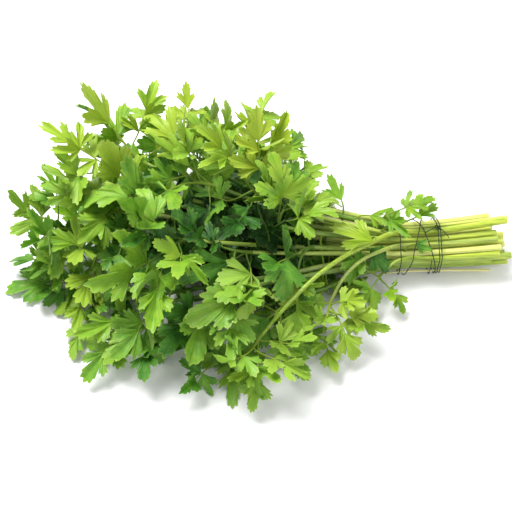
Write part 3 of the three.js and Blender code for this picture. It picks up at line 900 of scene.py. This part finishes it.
def make_thread(node, material):
    """The thread's turns around the bunch, and a small knot on its top with two short ends."""
    middles, radii = bar_line(node)
    points = rounded_rows(middles, THREAD_STEPS)
    radius = THREAD_SHARE * radii.mean()
    skin = Skin()
    twisted(skin, points, radius, QUARTER_TURNS)
    near = points[np.abs(points[:, 0] - KNOT_X) < KNOT_X_REACH]
    top = near[np.argmax(near[:, 2])]
    t = np.linspace(0, 2 * np.pi, KNOT_STEPS)
    trefoil = np.column_stack([
        np.sin(t) + 2 * np.sin(2 * t),
        np.cos(t) - 2 * np.cos(2 * t),
        KNOT_FLATNESS * np.sin(3 * t),
    ])
    twisted(skin, top + (0, 0, radius) + trefoil * KNOT_SIZE, radius, KNOT_QUARTER_TURNS)
    for reach in THREAD_ENDS:
        end = np.array(reach) * MM
        bow = [top + end * share + (0, 0, rise) for share, rise in THREAD_END_BOW]
        line, _ = bezier([top, *bow, top + end], np.linspace(0, 1, KNOT_STEPS // 2))
        twisted(skin, line, radius, THREAD_END_QUARTER_TURNS)
    skin.piece(node + "_twisted", node, material)


# ----------------------------------------------------------------- materials
class Nodes:
    """A material's nodes, made and linked in one call each. A value is a number, a colour or
    the output of another node."""

    def __init__(self, name):
        self.material = bpy.data.materials.new(name)
        self.material.use_nodes = True
        self.tree = self.material.node_tree
        self.tree.nodes.clear()

    def add(self, kind, inputs=None, **settings):
        node = self.tree.nodes.new("ShaderNode" + kind)
        for key, value in settings.items():
            setattr(node, key, value)
        for key, value in (inputs or {}).items():
            socket = node.inputs[key]
            if isinstance(value, bpy.types.NodeSocket):
                self.tree.links.new(value, socket)
            else:
                socket.default_value = value
        return node

    def math(self, operation, a, b, clamp=False):
        node = self.add("Math", {0: a, 1: b}, operation=operation, use_clamp=clamp)
        return node.outputs[0]

    def plus(self, a, b, clamp=False):
        return self.math("ADD", a, b, clamp)

    def minus(self, a, b):
        return self.math("SUBTRACT", a, b)

    def times(self, a, b):
        return self.math("MULTIPLY", a, b)

    def noise(self, scale, detail, vector=None):
        where = vector or self.add("TexCoord").outputs["Object"]
        node = self.add("TexNoise", {"Vector": where, "Scale": scale, "Detail": detail})
        return node.outputs["Fac"]

    def ramp(self, factor, stops):
        node = self.add("ValToRGB", {"Fac": factor})
        elements = node.color_ramp.elements
        while len(elements) < len(stops):
            elements.new(0.5)
        for element, (position, color) in zip(elements, stops):
            element.position = position
            element.color = (*color, 1)
        return node.outputs["Color"]

    def mix(self, factor, a, b):
        a, b = ((*color, 1) if isinstance(color, tuple) else color for color in (a, b))
        return self.add("Mix", {0: factor, 6: a, 7: b}, data_type="RGBA").outputs[2]

    def bump(self, height, strength, distance):
        inputs = {"Height": height, "Strength": strength, "Distance": distance}
        return self.add("Bump", inputs).outputs[0]

    def marks(self, attribute):
        """The four marks that each point has in one attribute."""
        node = self.add("Attribute", attribute_name=attribute)
        split = self.add("SeparateColor", {"Color": node.outputs["Color"]})
        return (*split.outputs[:3], node.outputs["Alpha"])

    def finish(self, shader):
        self.add("OutputMaterial", {"Surface": shader.outputs[0]})
        return self.material


def leaf_green(n, shade, warmth):
    """Light to deep green as shade goes from 0 to 1, and cool to warm."""
    warm = n.ramp(shade, [
        (0.0, (0.46, 0.60, 0.035)),
        (0.28, (0.33, 0.54, 0.025)),
        (0.55, (0.165, 0.385, 0.018)),
        (0.8, (0.047, 0.19, 0.010)),
        (1.0, (0.011, 0.065, 0.004)),
    ])
    cool = n.ramp(shade, [
        (0.0, (0.33, 0.57, 0.07)),
        (0.28, (0.21, 0.47, 0.042)),
        (0.55, (0.10, 0.325, 0.028)),
        (0.8, (0.029, 0.155, 0.014)),
        (1.0, (0.008, 0.058, 0.005)),
    ])
    return n.mix(warmth, cool, warm)


def leaf_veins(n, vein, shows, reach, own_number):
    """A main vein in each tooth, and finer ones that leave it on both sides."""
    main = n.times(n.math("POWER", vein, 9.0), shows)
    fine = n.plus(n.times(reach, 9.0), n.times(vein, 2.0))
    fine = n.math("PINGPONG", n.plus(fine, own_number), 0.5)
    fine = n.math("POWER", n.times(fine, 2.0), 5.0)
    return n.plus(main, n.times(fine, 0.3), clamp=True)


def leaf_material():
    n = Nodes("parsley_leaf")
    # The first mark is the leaf's depth of green, with painted shade and painted light in it.
    depth, warmth, kind, _ = n.marks("look")
    vein, shows, reach, own_number = n.marks("place")
    under = n.math("MINIMUM", kind, UNDERSIDE)
    is_stalk = n.math("GREATER_THAN", kind, (UNDERSIDE + STALK) / 2)
    mottle = n.noise(scale=160.0, detail=4.0)
    spots = n.noise(scale=700.0, detail=3.0)
    shade = n.plus(depth, n.times(n.minus(mottle, 0.5), 0.75))
    shade = n.plus(shade, n.times(n.minus(spots, 0.5), 0.25), clamp=True)
    green = leaf_green(n, shade, warmth)
    # Veins and the painted rim highlight show most on light leaves, and fade where the green is
    # deep from the leaf's own tone and from the painted shade in it.
    lightness = n.minus(1.0, n.times(shade, 0.85))
    veins = leaf_veins(n, vein, shows, reach, own_number)
    # A painted highlight: a thin pale line along each leaflet's rim, where its edge catches the
    # light.
    margin = n.math("GREATER_THAN", reach, RIM_HIGHLIGHT_START)
    top = n.mix(n.times(veins, lightness), green, n.mix(0.5, green, (0.52, 0.66, 0.22)))
    top = n.mix(n.times(margin, lightness), top, n.mix(0.45, green, (0.62, 0.74, 0.16)))
    blade = n.mix(under, top, n.mix(0.35, top, (0.24, 0.36, 0.12)))
    stalks = n.mix(depth, (0.36, 0.50, 0.05), (0.10, 0.22, 0.03))
    color = n.mix(is_stalk, blade, stalks)
    height = n.plus(n.times(veins, -0.8), n.times(spots, 0.6))
    bump = n.bump(height, strength=0.4, distance=0.4 * MM)
    # The underside and deep leaves are duller.
    rough = n.plus(n.times(mottle, 0.25), n.times(under, 0.15))
    rough = n.plus(rough, n.times(shade, 0.15))
    surface = n.add("BsdfPrincipled", {
        "Base Color": color,
        "Roughness": n.plus(rough, 0.18),
        "Normal": bump,
        "Specular IOR Level": 0.35,
    })
    # The light that comes through a light leaf is yellower than the leaf.
    glow = n.mix(n.times(n.minus(1.0, shade), 0.6), color, (0.42, 0.62, 0.02))
    through = n.add("BsdfTranslucent", {"Color": glow, "Normal": bump})
    both = n.add("MixShader", {0: 0.33, 1: surface.outputs[0], 2: through.outputs[0]})
    return n.finish(both)


def stem_material():
    n = Nodes("parsley_stem")
    tone, cut, leafward, dry = n.marks("look")
    place = n.add("TexCoord").outputs["Object"]
    stretched = n.add("Mapping", {"Vector": place, "Scale": (60.0, 1400.0, 1400.0)})
    streak = n.noise(scale=1.0, detail=3.0, vector=stretched.outputs[0])
    shade = n.plus(n.times(tone, 0.75), n.minus(streak, 0.35), clamp=True)
    pale = n.ramp(shade, [
        (0.1, (0.74, 0.76, 0.22)),
        (0.45, (0.58, 0.65, 0.07)),
        (0.7, (0.32, 0.45, 0.025)),
        (0.95, (0.12, 0.25, 0.010)),
    ])
    green = n.ramp(shade, [
        (0.15, (0.28, 0.43, 0.035)),
        (0.5, (0.13, 0.28, 0.015)),
        (0.9, (0.045, 0.14, 0.008)),
    ])
    side = n.mix(dry, n.mix(leafward, pale, green), (0.66, 0.60, 0.27))
    fine = n.noise(scale=2200.0, detail=2.0)
    height = n.plus(streak, n.times(fine, 0.15))
    return n.finish(n.add("BsdfPrincipled", {
        "Base Color": n.mix(cut, side, (0.62, 0.68, 0.34)),
        "Roughness": n.plus(n.times(streak, 0.15), 0.3),
        "Normal": n.bump(height, strength=0.3, distance=0.3 * MM),
        "Specular IOR Level": 0.5,
        "Subsurface Weight": 0.25,
        "Subsurface Radius": (0.6, 1.0, 0.25),
        "Subsurface Scale": 2 * MM,
    }))


def thread_material():
    n = Nodes("dark_thread")
    fuzz = n.noise(scale=3500.0, detail=3.0)
    return n.finish(n.add("BsdfPrincipled", {
        "Base Color": n.ramp(fuzz, [(0.3, (0.012, 0.032, 0.013)), (0.7, (0.045, 0.085, 0.040))]),
        "Roughness": n.plus(n.times(fuzz, 0.3), 0.6),
        "Normal": n.bump(fuzz, strength=0.6, distance=0.2 * MM),
        "Specular IOR Level": 0.25,
    }))


def floor_material():
    n = Nodes("pale_floor")
    grain = n.noise(scale=40.0, detail=2.0)
    fine = n.noise(scale=900.0, detail=3.0)
    return n.finish(n.add("BsdfPrincipled", {
        "Base Color": n.ramp(grain, [(0.0, (0.86, 0.86, 0.86)), (1.0, (0.9, 0.9, 0.9))]),
        "Roughness": n.plus(n.times(grain, 0.2), 0.7),
        "Normal": n.bump(fine, strength=0.05, distance=0.2 * MM),
    }))


# --------------------------------------------------------------------- stage
def make_floor():
    mesh = bpy.data.meshes.new("floor")
    reach = FLOOR_REACH
    corners = [(-reach, -reach, 0), (reach, -reach, 0), (reach, reach, 0), (-reach, reach, 0)]
    mesh.from_pydata(corners, [], [(0, 1, 2, 3)])
    mesh.materials.append(floor_material())
    floor = bpy.data.objects.new("floor", mesh)
    bpy.context.scene.collection.objects.link(floor)
    floor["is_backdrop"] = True


def put_facing(obj, place, ahead):
    """Puts a light or the camera at a place, looking ahead with its top up."""
    obj.location = place
    obj.rotation_mode = "QUATERNION"
    obj.rotation_quaternion = ahead.to_track_quat("-Z", "Y")
    bpy.context.scene.collection.objects.link(obj)


def make_lights():
    world = bpy.data.worlds.new("studio")
    world.use_nodes = True
    sky = world.node_tree.nodes["Background"]
    sky.inputs["Color"].default_value = (1, 1, 1, 1)
    sky.inputs["Strength"].default_value = SKY_STRENGTH
    bpy.context.scene.world = world
    for name, (place, size, power) in LIGHTS.items():
        light = bpy.data.lights.new(name, "AREA")
        light.size = size
        light.energy = power
        put_facing(bpy.data.objects.new(name, light), place, CAMERA_TARGET - Vector(place))


def make_camera():
    lens = bpy.data.cameras.new("camera")
    lens.lens = CAMERA_LENS
    lens.clip_start = CAMERA_CLIP
    camera = bpy.data.objects.new("camera", lens)
    ahead = Vector((0, math.cos(CAMERA_ELEVATION), -math.sin(CAMERA_ELEVATION)))
    put_facing(camera, CAMERA_TARGET - ahead * CAMERA_DISTANCE, ahead)
    bpy.context.scene.camera = camera
    bpy.context.scene.view_settings.view_transform = "Standard"


# ------------------------------------------------------------------ assembly
make_floor()
make_lights()
make_camera()
stem_look, leaf_look = stem_material(), leaf_material()
for node in sorted(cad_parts):
    if node.startswith("stem_"):
        number = int(node.split("_")[1])
        line, radius = make_stem(node, stem_look, np.random.default_rng(100 + number))
        leaf_node = node.replace("stem", "leaf")
        if leaf_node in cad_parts:
            make_leaf(leaf_node, line, radius, leaf_look, np.random.default_rng(number))
make_thread("tie_thread", thread_material())

[[list(corner) for corner in box] for box in (cad_box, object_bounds())]
